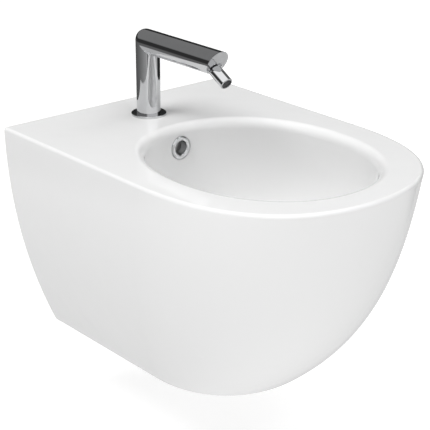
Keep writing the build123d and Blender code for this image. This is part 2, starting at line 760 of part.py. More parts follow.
aerator_face = NOZZLE_REACH - AERATOR_RECESS
aerator_back = aerator_face - AERATOR_LENGTH
washer_back = aerator_back - AERATOR_WASHER
step_bore = NECK_RADIUS - STEP_WIDTH
with BuildPart() as nozzle_sleeve:
    turned(
        nozzle_axis,
        [
            (SLEEVE_START, NECK_RADIUS + SCREWED),
            (SLEEVE_START, NOZZLE_RADIUS - NOZZLE_BACK_EDGE),
            (SLEEVE_START + NOZZLE_BACK_EDGE, NOZZLE_RADIUS),
            (NOZZLE_REACH - NOZZLE_TIP_EDGE, NOZZLE_RADIUS),
            (NOZZLE_REACH, NOZZLE_RADIUS - NOZZLE_TIP_EDGE),
            (NOZZLE_REACH, AERATOR_RADIUS + SCREWED),
            (washer_back, AERATOR_RADIUS + SCREWED),
            (washer_back, step_bore),
            (NECK_END, step_bore),
            (NECK_END, NECK_RADIUS + SCREWED),
        ],
    )
finish(nozzle_sleeve, "nozzle_sleeve")

with BuildPart() as aerator_washer:
    ring(nozzle_axis, AERATOR_RADIUS, step_bore, washer_back, aerator_back)
finish(aerator_washer, "aerator_washer")

insert_radius = AERATOR_RADIUS - AERATOR_WALL
shelf = aerator_back + AERATOR_SHELF
with BuildPart() as aerator_housing:
    ring(nozzle_axis, AERATOR_RADIUS, insert_radius, aerator_back, aerator_face)
    ring(nozzle_axis, insert_radius, insert_radius - AERATOR_SHELF_WIDTH, aerator_back, shelf)
finish(aerator_housing, "aerator_housing")

with BuildPart() as aerator_insert:
    with BuildSketch(nozzle_axis.offset(shelf)):
        Circle(insert_radius - SCREWED)
        for count, reach in JET_RINGS:
            with PolarLocations(insert_radius * reach, count):
                Circle(JET_RADIUS, mode=Mode.SUBTRACT)
    extrude(amount=aerator_face - shelf - INSERT_RECESS)
finish(aerator_insert, "aerator_insert")
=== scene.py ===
# %% [markdown]
# # A wall-hung bidet, dressed for its portrait
# The solids come from CAD already in their right sizes and places. This lesson gives them
# their finishes, cuts the threads and soft edges that a solid model leaves out, and lights
# the piece in a small white studio. Everything is in metres: the wall is the plane y = 0,
# the bidet stands out along -Y, and the rim is 80 mm above the fixing studs at z = 0.

# %% Load the solids
import json
from math import cos, pi, radians, sin, tan

import bmesh
import bpy
from mathutils import Matrix, Vector


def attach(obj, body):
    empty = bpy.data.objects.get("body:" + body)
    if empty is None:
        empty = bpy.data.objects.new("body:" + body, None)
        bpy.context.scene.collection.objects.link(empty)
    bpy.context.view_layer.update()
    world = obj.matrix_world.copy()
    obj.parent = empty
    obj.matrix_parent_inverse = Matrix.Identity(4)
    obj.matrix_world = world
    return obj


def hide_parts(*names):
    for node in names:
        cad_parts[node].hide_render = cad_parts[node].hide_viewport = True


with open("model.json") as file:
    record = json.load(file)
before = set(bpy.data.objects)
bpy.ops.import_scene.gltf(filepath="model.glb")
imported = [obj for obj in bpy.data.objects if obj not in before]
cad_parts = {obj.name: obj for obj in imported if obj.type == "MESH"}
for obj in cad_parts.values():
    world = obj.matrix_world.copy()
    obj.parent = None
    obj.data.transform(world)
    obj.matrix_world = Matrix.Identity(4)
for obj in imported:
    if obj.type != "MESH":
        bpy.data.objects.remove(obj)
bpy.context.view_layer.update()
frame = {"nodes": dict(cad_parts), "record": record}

solids = frame["nodes"]
for solid in solids.values():
    solid.data.materials.clear()
for plain_colour in list(bpy.data.materials):
    bpy.data.materials.remove(plain_colour)

# %% [markdown]
# ## The camera
# A product photograph is taken from far away with a long lens, so that upright lines stay
# nearly parallel. The camera stands to the front left and a little above. Its place and lens
# could be found by trial, but they were worked out from the rim's four corners, and the
# camera is turned by the two angles that a photographer would read off a tripod.

# %% Camera
AROUND = radians(-40.15)
ABOVE = radians(21.566)
back = Vector((sin(AROUND) * cos(ABOVE), -cos(AROUND) * cos(ABOVE), sin(ABOVE)))
camera_data = bpy.data.cameras.new("long_lens")
camera_data.lens = 117.2
camera_data.sensor_width = 36.0
camera_data.clip_start, camera_data.clip_end = 0.05, 60.0
camera = bpy.data.objects.new("camera", camera_data)
bpy.context.collection.objects.link(camera)
camera.location = (-1.0894, -1.5038, 0.6437)
camera.rotation_mode = "QUATERNION"
camera.rotation_quaternion = (-back).to_track_quat("-Z", "Y")
bpy.context.scene.camera = camera
print("camera distance from the wall:", round(-camera.location.y, 3), "m")

# %% [markdown]
# ## Helpers for node trees
# Every finish below is a small tree of nodes. Two helpers keep the cells short: one adds a
# node and plugs values or links into it, the other starts a shared node group. A shared
# effect is built once and then placed in each finish with its own numbers.

# %% Node helpers
def node(tree, kind, inputs=(), **settings):
    """Adds a node. inputs maps a socket's name or number to a value or to another socket."""
    made = tree.nodes.new("ShaderNode" + kind)
    for name, value in settings.items():
        setattr(made, name, value)
    for socket, value in dict(inputs).items():
        if isinstance(value, bpy.types.NodeSocket):
            tree.links.new(value, made.inputs[socket])
        else:
            made.inputs[socket].default_value = value
    return made


def shared_effect(name, inputs, outputs):
    """Starts a node group with named sockets, and gives its tree, its inputs and its end."""
    tree = bpy.data.node_groups.new(name, "ShaderNodeTree")
    for label, kind, value in inputs:
        socket = tree.interface.new_socket(label, in_out="INPUT", socket_type="NodeSocket" + kind)
        if value is not None:
            socket.default_value = value
    for label, kind in outputs:
        tree.interface.new_socket(label, in_out="OUTPUT", socket_type="NodeSocket" + kind)
    start = tree.nodes.new("NodeGroupInput")
    end = tree.nodes.new("NodeGroupOutput")
    return tree, start.outputs, end.inputs


def place(tree, effect, inputs=()):
    """Places a shared effect in a finish."""
    made = tree.nodes.new("ShaderNodeGroup")
    made.node_tree = bpy.data.node_groups[effect]
    for socket, value in dict(inputs).items():
        if isinstance(value, bpy.types.NodeSocket):
            tree.links.new(value, made.inputs[socket])
        else:
            made.inputs[socket].default_value = value
    return made.outputs


def new_finish(name, **fixed):
    """Starts a finish, with the values that are the same all over it on the shader itself."""
    finish = bpy.data.materials.new(name)
    finish.use_nodes = True
    tree = finish.node_tree
    shader = tree.nodes["Principled BSDF"]
    for socket, value in fixed.items():
        shader.inputs[socket.replace("_", " ")].default_value = value
    where = node(tree, "TexCoord").outputs["Object"]
    return finish, tree, shader, where

# %% [markdown]
# ## Shared effect: an uneven surface
# Glaze, plastic and rubber are never dead flat. Two sizes of soft noise, added together, give
# a height that a Bump node turns into a gentle waver of the reflections.

# %% Uneven surface
tree, given, out = shared_effect(
    "uneven_surface",
    [
        ("Vector", "Vector", None),
        ("Broad", "Float", 20.0),
        ("Fine", "Float", 400.0),
        ("Share", "Float", 0.2),
    ],
    [("Height", "Float")],
)
broad = node(tree, "TexNoise", {"Vector": given["Vector"], "Scale": given["Broad"], "Detail": 2.0})
fine = node(tree, "TexNoise", {"Vector": given["Vector"], "Scale": given["Fine"], "Detail": 3.0})
blend = node(
    tree, "Mix", {0: given["Share"], 2: broad.outputs[0], 3: fine.outputs[0]}, data_type="FLOAT"
)
tree.links.new(blend.outputs[0], out["Height"])
print("effect:", tree.name)

# %% [markdown]
# ## Shared effect: handled polish
# A polished surface that people touch has patches that are a little duller. Clouded noise,
# sharpened to soft blots, runs the roughness from a low to a high value.

# %% Handled polish
tree, given, out = shared_effect(
    "handled_polish",
    [
        ("Vector", "Vector", None),
        ("Scale", "Float", 30.0),
        ("Polished", "Float", 0.05),
        ("Dull", "Float", 0.12),
    ],
    [("Roughness", "Float"), ("Mask", "Float")],
)
clouds = node(
    tree, "TexNoise", {"Vector": given["Vector"], "Scale": given["Scale"], "Detail": 5.0, "Roughness": 0.6}
)
blots = node(
    tree,
    "MapRange",
    {"Value": clouds.outputs[0], "From Min": 0.42, "From Max": 0.72, "To Min": 0.0, "To Max": 1.0},
    interpolation_type="SMOOTHSTEP",
)
rough = node(
    tree,
    "MapRange",
    {"Value": blots.outputs[0], "To Min": given["Polished"], "To Max": given["Dull"]},
)
tree.links.new(rough.outputs[0], out["Roughness"])
tree.links.new(blots.outputs[0], out["Mask"])
print("effect:", tree.name)

# %% [markdown]
# ## Shared effect: hairline scratches
# Cleaning leaves fine hairlines in all directions. Noise that is stretched a hundredfold
# along one way makes one set of lines, and a second set crosses it.

# %% Hairline scratches
tree, given, out = shared_effect(
    "hairlines", [("Vector", "Vector", None), ("Scale", "Float", 60.0)], [("Height", "Float")]
)
sets = []
for turn, stretch in (((0.4, 0.9, 0.3), (1.0, 90.0, 1.0)), ((1.3, 0.2, 1.1), (70.0, 1.0, 1.0))):
    turned_way = node(
        tree, "Mapping", {"Vector": given["Vector"], "Rotation": turn, "Scale": stretch}
    )
    lines = node(
        tree, "TexNoise", {"Vector": turned_way.outputs[0], "Scale": given["Scale"], "Detail": 2.0}
    )
    only_crests = node(
        tree, "MapRange", {"Value": lines.outputs[0], "From Min": 0.62, "From Max": 0.75}
    )
    sets.append(only_crests.outputs[0])
crossed = node(tree, "Math", {0: sets[0], 1: sets[1]}, operation="ADD")
tree.links.new(crossed.outputs[0], out["Height"])
print("effect:", tree.name)

# %% [markdown]
# ## Glazed china
# Vitreous china is a white clay body under a glass-clear glaze. The glaze pools in a faint
# waver, and it is left off where the piece stood in the kiln and where it meets the wall, so
# those faces are matt. A plain glossy white would miss both. The two finishes are mixed by
# where the surface lies, because the bare faces are exactly the foot and the wall plane.

# %% China finish
china, tree, shader, where = new_finish("glazed_china", IOR=1.5, Specular_IOR_Level=0.5)
place_of = node(tree, "SeparateXYZ", {"Vector": where})
at_wall = node(
    tree, "Math", {0: place_of.outputs["Y"], 1: -0.0004}, operation="GREATER_THAN"
)
at_foot = node(
    tree, "Math", {0: place_of.outputs["Z"], 1: -0.2163}, operation="LESS_THAN"
)
bare = node(tree, "Math", {0: at_wall.outputs[0], 1: at_foot.outputs[0]}, operation="MAXIMUM")
tone = node(tree, "TexNoise", {"Vector": where, "Scale": 5.0, "Detail": 2.0})
glaze_colour = node(
    tree,
    "Mix",
    {0: tone.outputs[0], 6: (0.815, 0.815, 0.812, 1), 7: (0.835, 0.836, 0.838, 1)},
    data_type="RGBA",
)
clay_grain = node(tree, "TexNoise", {"Vector": where, "Scale": 900.0, "Detail": 4.0})
clay_colour = node(
    tree,
    "Mix",
    {0: clay_grain.outputs[0], 6: (0.60, 0.57, 0.52, 1), 7: (0.78, 0.76, 0.72, 1)},
    data_type="RGBA",
)
china_colour = node(
    tree,
    "Mix",
    {0: bare.outputs[0], 6: glaze_colour.outputs[2], 7: clay_colour.outputs[2]},
    data_type="RGBA",
)
polish = place(tree, "handled_polish", {"Vector": where, "Scale": 9.0, "Polished": 0.05, "Dull": 0.085})
china_rough = node(
    tree, "Mix", {0: bare.outputs[0], 2: polish["Roughness"], 3: 0.8}, data_type="FLOAT"
)
waver = place(tree, "uneven_surface", {"Vector": where, "Broad": 14.0, "Fine": 160.0, "Share": 0.03})
ripple = node(tree, "Bump", {"Height": waver["Height"], "Strength": 0.25, "Distance": 0.002})
tree.links.new(china_colour.outputs[2], shader.inputs["Base Color"])
tree.links.new(china_rough.outputs[0], shader.inputs["Roughness"])
tree.links.new(ripple.outputs[0], shader.inputs["Normal"])
print("finish:", china.name, "nodes:", len(tree.nodes))

# %% [markdown]
# ## Chrome
# Chrome plate on polished brass is a slightly blue mirror. What makes it look real is not the
# mirror but what dulls it: faint smudges from hands and hairlines from the cleaning cloth.

# %% Chrome finish
chrome, tree, shader, where = new_finish("chrome", Metallic=1.0)
smudges = place(tree, "handled_polish", {"Vector": where, "Scale": 55.0, "Polished": 0.025, "Dull": 0.07})
plate = node(
    tree,
    "Mix",
    {0: smudges["Mask"], 6: (0.60, 0.605, 0.615, 1), 7: (0.57, 0.575, 0.585, 1)},
    data_type="RGBA",
)
hairs = place(tree, "hairlines", {"Vector": where, "Scale": 50.0})
wiped = node(tree, "Bump", {"Height": hairs["Height"], "Strength": 0.02, "Distance": 0.0001})
tree.links.new(plate.outputs[2], shader.inputs["Base Color"])
tree.links.new(smudges["Roughness"], shader.inputs["Roughness"])
tree.links.new(wiped.outputs[0], shader.inputs["Normal"])
print("finish:", chrome.name, "nodes:", len(tree.nodes))

# %% [markdown]
# ## Zinc-plated steel
# Studs, washers and nuts carry bright zinc. Its small crystals show as patches of slightly
# different tone, which Voronoi cells give, over a soft and uneven shine.

# %% Zinc finish
zinc, tree, shader, where = new_finish("zinc_steel", Metallic=1.0)
crystals = node(tree, "TexVoronoi", {"Vector": where, "Scale": 700.0})
crystal_tone = node(tree, "SeparateColor", {"Color": crystals.outputs["Color"]})
zinc_colour = node(
    tree,
    "Mix",
    {0: crystal_tone.outputs[0], 6: (0.52, 0.53, 0.55, 1), 7: (0.66, 0.67, 0.68, 1)},
    data_type="RGBA",
)
zinc_polish = place(tree, "handled_polish", {"Vector": where, "Scale": 120.0, "Polished": 0.28, "Dull": 0.45})
zinc_skin = place(tree, "uneven_surface", {"Vector": where, "Broad": 300.0, "Fine": 2500.0, "Share": 0.4})
zinc_bump = node(tree, "Bump", {"Height": zinc_skin["Height"], "Strength": 0.2, "Distance": 0.0002})
tree.links.new(zinc_colour.outputs[2], shader.inputs["Base Color"])
tree.links.new(zinc_polish["Roughness"], shader.inputs["Roughness"])
tree.links.new(zinc_bump.outputs[0], shader.inputs["Normal"])
print("finish:", zinc.name, "nodes:", len(tree.nodes))

# %% [markdown]
# ## Brass
# The turned brass pieces are left unplated where nobody looks. The cutting tool leaves fine
# rings round the axis, and handling darkens patches of the metal.

# %% Brass finish
brass, tree, shader, where = new_finish("brass", Metallic=1.0)
tarnish = place(tree, "handled_polish", {"Vector": where, "Scale": 90.0, "Polished": 0.22, "Dull": 0.42})
brass_colour = node(
    tree,
    "Mix",
    {0: tarnish["Mask"], 6: (0.74, 0.56, 0.28, 1), 7: (0.55, 0.39, 0.18, 1)},
    data_type="RGBA",
)
tool_marks = node(tree, "Mapping", {"Vector": where, "Scale": (40.0, 40.0, 3000.0)})
marks = node(tree, "TexNoise", {"Vector": tool_marks.outputs[0], "Scale": 1.0, "Detail": 1.0})
brass_bump = node(tree, "Bump", {"Height": marks.outputs[0], "Strength": 0.15, "Distance": 0.0002})
tree.links.new(brass_colour.outputs[2], shader.inputs["Base Color"])
tree.links.new(tarnish["Roughness"], shader.inputs["Roughness"])
tree.links.new(brass_bump.outputs[0], shader.inputs["Normal"])
print("finish:", brass.name, "nodes:", len(tree.nodes))

# %% [markdown]
# ## Plastics and rubber
# Three moulded finishes share one recipe: a colour that drifts a little, a roughness that
# drifts with it, and the fine grain of the mould. A loop makes them from a short table.

# %% Plastic and rubber finishes
def moulded(name, dark, light, polished, dull, grain, strength):
    """A moulded finish between two colours and two roughnesses, with a grain."""
    finish, tree, shader, where = new_finish(name, IOR=1.47)
    drift = place(
        tree, "handled_polish", {"Vector": where, "Scale": 60.0, "Polished": polished, "Dull": dull}
    )
    colour = node(
        tree, "Mix", {0: drift["Mask"], 6: (*dark, 1), 7: (*light, 1)}, data_type="RGBA"
    )
    skin = place(
        tree, "uneven_surface", {"Vector": where, "Broad": 150.0, "Fine": grain, "Share": 0.6}
    )
    bump = node(tree, "Bump", {"Height": skin["Height"], "Strength": strength, "Distance": 0.0003})
    tree.links.new(colour.outputs[2], shader.inputs["Base Color"])
    tree.links.new(drift["Roughness"], shader.inputs["Roughness"])
    tree.links.new(bump.outputs[0], shader.inputs["Normal"])
    print("finish:", name, "nodes:", len(tree.nodes))
    return finish


white_plastic = moulded(
    "white_plastic", (0.70, 0.70, 0.68), (0.76, 0.76, 0.74), 0.35, 0.5, 1800.0, 0.12
)
dark_plastic = moulded(
    "dark_plastic", (0.022, 0.022, 0.024), (0.04, 0.04, 0.042), 0.3, 0.45, 2200.0, 0.15
)
rubber = moulded("rubber", (0.018, 0.018, 0.018), (0.035, 0.034, 0.033), 0.65, 0.85, 3000.0, 0.3)

# %% [markdown]
# ## Dress the solids
# The record names a finish for each solid. The loop gives each one that finish, so a piece
# that replaces a solid later can ask for the finish of the solid that it stands for.

# %% Give each solid its finish
finishes = {
    f.name: f for f in (china, chrome, zinc, brass, white_plastic, dark_plastic, rubber)
}
slot_of = {}
for part in frame["record"]["subparts"]:
    slot_of[part["node"]] = part["material_slot"]
for name, solid in solids.items():
    solid.data.materials.append(finishes[slot_of[name]])
# The record calls the ball brass. Its neck shows at the mouth of the opening, and it is shown
# plated here, as in the photograph. Every other solid keeps the record's finish.
solids["nozzle_ball"].data.materials[0] = chrome
print("dressed:", {f: list(slot_of.values()).count(f) for f in finishes})

# %% [markdown]
# ## Finer pieces in place of four solids
# Four solids are plainer than the real pieces: the tap's elbow has a sharp corner, the base
# ring a straight bevel, and the studs and the shank have no threads. Each gets a piece of its
# own here, which rides on the same body and stays inside the solid that it stands for. Sizes
# are written in millimetres, as on a maker's drawing, and scaled once at the end.

# %% Helpers for the pieces
MM = 0.001


def piece_from(shape, name):
    """Turns a bmesh that was drawn in millimetres into an object, scaled to metres."""
    bmesh.ops.scale(shape, vec=(MM, MM, MM), verts=shape.verts)
    bmesh.ops.recalc_face_normals(shape, faces=shape.faces)
    mesh = bpy.data.meshes.new(name)
    shape.to_mesh(mesh)
    shape.free()
    piece = bpy.data.objects.new(name, mesh)
    bpy.context.collection.objects.link(piece)
    return piece


def combine(piece, tool, operation):
    """Adds a second shape to a piece, or cuts it away, and throws the tool away."""
    change = piece.modifiers.new("change", "BOOLEAN")
    change.object, change.operation, change.solver = tool, operation, "EXACT"
    graph = bpy.context.evaluated_depsgraph_get()
    result = bpy.data.meshes.new_from_object(piece.evaluated_get(graph))
    piece.modifiers.clear()
    plain, piece.data = piece.data, result
    bpy.data.meshes.remove(plain)
    bpy.data.meshes.remove(tool.data)


def stand_in(piece, solid):
    """Lets a finished piece stand for a solid, with that solid's finish."""
    for face in piece.data.polygons:
        face.use_smooth = True
    piece.data.set_sharp_from_angle(angle=radians(32))
    piece.data.materials.clear()
    piece.data.materials.append(finishes[slot_of[solid]])
    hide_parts(solid)
    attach(piece, "bidet")
    check = bmesh.new()
    check.from_mesh(piece.data)
    open_edges = sum(not edge.is_manifold for edge in check.edges)
    volume = check.calc_volume() * 1e9
    check.free()
    faces = len(piece.data.polygons)
    print(piece.name, "faces:", faces, "open edges:", open_edges, "mm3:", round(volume))


def chain(shape, points):
    """Draws a row of edges through points, and gives back its corners and edges."""
    corners = [shape.verts.new(point) for point in points]
    edges = [shape.edges.new(pair) for pair in zip(corners, corners[1:])]
    return corners + edges


def turned_piece(outline, around, along=(0, 0, 1), sideways=(1, 0, 0), steps=128):
    """Spins an outline of (distance out, distance along) once round an axis."""
    shape = bmesh.new()
    middle, along, sideways = Vector(around), Vector(along), Vector(sideways)
    points = [middle + sideways * out + along * up for out, up in outline]
    bmesh.ops.spin(
        shape, geom=chain(shape, points), cent=middle, axis=along,
        angle=2 * pi, steps=steps, use_merge=True,
    )
    bmesh.ops.remove_doubles(shape, verts=shape.verts, dist=0.0001)
    return shape

# %% [markdown]
# ## Tap body
# The tap is one brass tube that turns a corner. The polisher's wheel has rounded the outside
# of that corner and left the inside sharp, which a plain bend or a plain mitre would both
# miss. So a ring of points is drawn out along the tube row by row: each point turns the
# corner on an arc of its own, widest at the back of the tube and tiny at the front.

# %% Tap body with its rounded corner
TAP_FROM_WALL, SPOUT_Z, TUBE_FOOT = 75.0, 180.0, 83.0
FACE_FROM_WALL, FACE_TILT = 216.8, radians(28)
AROUND_TUBE, AROUND_CORNER = 96, 14
SHARP_ARC, HOLD_ROW = 0.3, 0.8  # the inner corner's radius, and how near the extra rows lie
OUTER_CORNER, BORE_CORNER = 12.0, 9.0


def tube_rows(radius, rounding):
    """Rows of points up the tube and round its corner, as functions of the angle round it."""

    def row_at(turn, before=0.0, after=0.0):
        def point(angle):
            out = radius * cos(angle)
            arc = rounding * max(cos(angle), 0.0) + SHARP_ARC
            y, z = -TAP_FROM_WALL + out - arc, SPOUT_Z + out - arc
            y, z = y + arc * cos(turn) - after, z + arc * sin(turn) - before
            return Vector((radius * sin(angle), y, z))

        return point

    def foot(angle):
        return Vector((radius * sin(angle), -TAP_FROM_WALL + radius * cos(angle), TUBE_FOOT))

    corner = [row_at(pi / 2 * step / AROUND_CORNER) for step in range(AROUND_CORNER + 1)]
    # a row close to each end of the corner keeps the shading of the straight parts straight
    return [foot, row_at(0, before=HOLD_ROW), *corner, row_at(pi / 2, after=HOLD_ROW)]


def spout_row(radius, from_wall=None):
    """A row across the spout, square to it or, with no distance given, on the slanted face."""

    def point(angle):
        up = radius * cos(angle)
        y = -from_wall if from_wall else -FACE_FROM_WALL - up * tan(FACE_TILT)
        return Vector((radius * sin(angle), y, SPOUT_Z + up))

    return point


OUTSIDE, BORE, CAP_POCKET, CAP_SEAT = 16.0, 13.05, 14.85, 184.3
rows = [*tube_rows(OUTSIDE, OUTER_CORNER), spout_row(OUTSIDE), spout_row(CAP_POCKET)]
rows += [spout_row(CAP_POCKET, CAP_SEAT), spout_row(BORE, CAP_SEAT), *reversed(tube_rows(BORE, BORE_CORNER))]
shape = bmesh.new()
angles = [2 * pi * step / AROUND_TUBE for step in range(AROUND_TUBE)]
first = bmesh.ops.create_circle(shape, segments=AROUND_TUBE, radius=1.0)["verts"]
for corner, angle in zip(first, angles):
    corner.co = rows[0](angle)
corners, edges = first, list(shape.edges)
first_edges = edges
for row in rows[1:]:
    drawn = bmesh.ops.extrude_edge_only(shape, edges=edges)["geom"]
    edges = [part for part in drawn if isinstance(part, bmesh.types.BMEdge)]
    moved = {corner for corner in drawn if isinstance(corner, bmesh.types.BMVert)}
    follows = []
    for corner in corners:
        twin = next(e.other_vert(corner) for e in corner.link_edges if e.other_vert(corner) in moved)
        follows.append(twin)
    for corner, angle in zip(follows, angles):
        corner.co = row(angle)
    corners = follows
    edges = [edge for edge in edges if all(corner in moved for corner in edge.verts)]
bmesh.ops.bridge_loops(shape, edges=first_edges + edges)
tap_body = piece_from(shape, "tap_body_rounded")

NOZZLE_DIP = radians(29.5)
BALL = (0, -203.7, 174.7)
nozzle_way = (0, -cos(NOZZLE_DIP), -sin(NOZZLE_DIP))
nozzle_up = (0, -sin(NOZZLE_DIP), cos(NOZZLE_DIP))
# the opening that lets the nozzle swing, as (distance out, distance along) from the ball
SWING_OPENING = (
    (0.000, 0.000), (6.778, 0.000), (6.778, 5.007),
    (10.082, 5.007), (17.892, 36.000), (0.000, 36.000),
)
opening = piece_from(turned_piece(SWING_OPENING, BALL, nozzle_way, nozzle_up, 96), "swing_opening")
combine(tap_body, opening, "DIFFERENCE")
stand_in(tap_body, "tap_body")

# %% [markdown]
# ## Base ring
# The ring below the tube is turned on a lathe and polished, so its upper edge is a small
# quarter round that catches a soft line of light. A straight bevel mirrors one hard spot. The
# outline, with the groove for the rubber ring below, is spun once round the tap's axis.

# %% Base ring with a rounded edge
RIM, RING_TOP, RING_RADIUS, EDGE_ROUND = 80.0, 83.0, 23.5, 0.8
edge = [
    (RING_RADIUS - EDGE_ROUND * (1 - sin(a)), RING_TOP - EDGE_ROUND * (1 - cos(a)))
    for a in (pi / 2 * step / 6 for step in range(6, -1, -1))
]
SEAL_OUT, SEAL_IN, SEAL_DEEP = 21.55, 18.95, 1.2
outline = [(BORE, RIM), (SEAL_IN, RIM), (SEAL_IN, RIM + SEAL_DEEP), (SEAL_OUT, RIM + SEAL_DEEP)]
outline += [(SEAL_OUT, RIM), (RING_RADIUS, RIM), (RING_RADIUS, edge[0][1] - 0.1), *edge]
outline += [(edge[-1][0] - 0.1, RING_TOP), (BORE, RING_TOP), (BORE, RIM)]
base_ring = piece_from(turned_piece(outline, (0, -TAP_FROM_WALL, 0)), "base_ring_turned")
stand_in(base_ring, "base_ring")

# %% [markdown]
# ## Threads
# A thread is rolled or cut as one groove that climbs round the rod. Spinning a zigzag line
# once round the axis while it rises by one pitch gives just that: the last line lands on the
# first, one tooth higher. Both ends are then cut off square, closed, and bevelled so that a
# nut can start. A picture of a thread would look flat from the side.

# %% Threaded rods
def threaded_rod(crest, depth, pitch, low, high, bevels=(0.0, 0.0), steps=28):
    """A threaded rod along Z between two heights, in millimetres, with bevelled ends."""
    shape = bmesh.new()
    tooth = ((crest - depth, 0.0), (crest, 0.42), (crest, 0.58))
    turns = int((high - low) / pitch) + 4
    zigzag = [
        (out, 0, low + (turn - 2 + share) * pitch) for turn in range(turns) for out, share in tooth
    ]
    bmesh.ops.spin(
        shape, geom=chain(shape, zigzag), cent=(0, 0, 0), axis=(0, 0, 1), dvec=(0, 0, pitch / steps),
        angle=2 * pi, steps=steps,
    )
    bmesh.ops.remove_doubles(shape, verts=shape.verts, dist=0.001)
    for level, way in ((low, -1), (high, 1)):
        everything = [*shape.verts, *shape.edges, *shape.faces]
        bmesh.ops.bisect_plane(
            shape, geom=everything, plane_co=(0, 0, level), plane_no=(0, 0, way), clear_outer=True
        )
        rim = [
            edge for edge in shape.edges
            if edge.is_boundary and all(abs(end.co.z - level) < 0.01 for end in edge.verts)
        ]
        bmesh.ops.edgeloop_fill(shape, edges=rim)
    for corner in shape.verts:
        out = corner.co.xy.length
        for level, bevel in zip((low, high), bevels):
            allowed = crest - bevel + abs(corner.co.z - level)
            if bevel and out > allowed:
                corner.co.xy *= allowed / out
                out = allowed
    return shape

# %% [markdown]
# ## Wall studs
# Two stepped studs hold the bidet: a coarse thread of 12 mm goes into the wall and a fine one
# of 10 mm takes the nut. The same die rolls both, so the second is a copy of the first, moved
# across and not mirrored, because a mirrored thread would be left-handed.

# %% Wall studs
STUD_SPACING = 180.0
studs = bmesh.new()
for rod in (
    threaded_rod(6.0, 0.9, 2.5, 2.0, 60.0, (0.0, 1.0)),
    threaded_rod(5.0, 0.6, 1.5, -54.0, 2.5, (1.0, 0.0)),
):
    part = bpy.data.meshes.new("rod")
    rod.to_mesh(part)
    rod.free()
    studs.from_mesh(part)
    bpy.data.meshes.remove(part)
bmesh.ops.rotate(studs, verts=studs.verts, cent=(0, 0, 0), matrix=Matrix.Rotation(radians(-90), 3, "X"))
bmesh.ops.translate(studs, verts=studs.verts, vec=(-STUD_SPACING / 2, 0, 0))
copy = bmesh.ops.duplicate(studs, geom=[*studs.verts, *studs.edges, *studs.faces])["geom"]
bmesh.ops.translate(
    studs, verts=[v for v in copy if isinstance(v, bmesh.types.BMVert)], vec=(STUD_SPACING, 0, 0)
)
stand_in(piece_from(studs, "wall_studs_threaded"), "wall_studs")

# %% [markdown]
# ## Mounting shank
# The brass shank is threaded where the nut clamps the tap below the deck, plain where it goes
# through the deck and into the tube, and bored for the water. The threaded rod gets a plain
# upper part, and the bore with its wider inlet is cut out of both.

# %% Mounting shank
SHANK_RADIUS, SHANK_LOW, DECK_UNDER, SHANK_TOP = 13.0, 35.0, 67.0, 97.0
WATER_WAY, INLET, INLET_DEEP = 5.0, 7.5, 12.0
rod = threaded_rod(SHANK_RADIUS - 0.05, 0.7, 1.5, SHANK_LOW, DECK_UNDER, (1.0, 0.0), 64)
bmesh.ops.translate(rod, verts=rod.verts, vec=(0, -TAP_FROM_WALL, 0))
shank = piece_from(rod, "mounting_shank_threaded")
plain = [(0, DECK_UNDER - 1), (SHANK_RADIUS, DECK_UNDER - 1), (SHANK_RADIUS, SHANK_TOP), (0, SHANK_TOP)]
wet = [(0, SHANK_LOW - 1), (INLET, SHANK_LOW - 1), (INLET, SHANK_LOW + INLET_DEEP)]
wet += [(WATER_WAY, SHANK_LOW + INLET_DEEP), (WATER_WAY, SHANK_TOP + 1), (0, SHANK_TOP + 1)]
for outline, operation in ((plain, "UNION"), (wet, "DIFFERENCE")):
    tool = piece_from(turned_piece(outline, (0, -TAP_FROM_WALL, 0), steps=64), "tool")
    combine(shank, tool, operation)
stand_in(shank, "mounting_shank")

# %% [markdown]
# ## The studio floor
# The piece hangs 400 mm up over a plain pale floor, with nothing behind it. The floor is a
# large light table: it glows a little, so shadows on it stay faint and it reads nearly white.
# Mirror and matt rays skip it and it casts no shadow, so the light is set elsewhere.

# %% Floor
FLOOR_Z = -0.32
floor_mesh = bmesh.new()
bmesh.ops.create_grid(floor_mesh, x_segments=1, y_segments=1, size=12.0)
bmesh.ops.translate(floor_mesh, verts=floor_mesh.verts, vec=(0, 0, FLOOR_Z))
floor_data = bpy.data.meshes.new("floor")
floor_mesh.to_mesh(floor_data)
floor_mesh.free()
floor = bpy.data.objects.new("floor", floor_data)
bpy.context.collection.objects.link(floor)
floor.visible_glossy = False
floor.visible_diffuse = False
floor.visible_shadow = False
pale, tree, shader, where = new_finish(
    "light_table", Roughness=0.9, Emission_Color=(1, 1, 1, 1), Emission_Strength=0.85
)
clouded = node(tree, "TexNoise", {"Vector": where, "Scale": 3.0})
pale_colour = node(
    tree,
    "Mix",
    {0: clouded.outputs[0], 6: (0.30, 0.30, 0.30, 1), 7: (0.34, 0.34, 0.34, 1)},
    data_type="RGBA",
)
tree.links.new(pale_colour.outputs[2], shader.inputs["Base Color"])
floor_data.materials.append(pale)
print("floor at z =", FLOOR_Z)

# %% [markdown]
# ## The light
# White china needs even light from everywhere, and chrome needs something dark to mirror. A
# photographer lights the one with a white tent and draws the other with cards: white ones for
# the highlights and black flags for the dark lines. The surroundings do both here. Matt
# surfaces see a dome that shines from below only, in place of the floor, which lights nothing.
# Mirror rays see a room of cards, which are placed by compass bearing and height in degrees.
# Bearing 0 is behind the wall and 90 is to the right. The camera itself sees plain white.

# %% Dome
scene = bpy.context.scene
scene.view_settings.view_transform = "Standard"
scene.view_settings.look = "None"
world = bpy.data.worlds.new("tent")
scene.world = world
world.use_nodes = True
tree = world.node_tree
direction = node(tree, "SeparateXYZ", {"Vector": node(tree, "TexCoord").outputs["Generated"]})


def worked_out(operation, *values):
    """The result of a Math node."""
    return node(tree, "Math", dict(enumerate(values)), operation=operation).outputs[0]


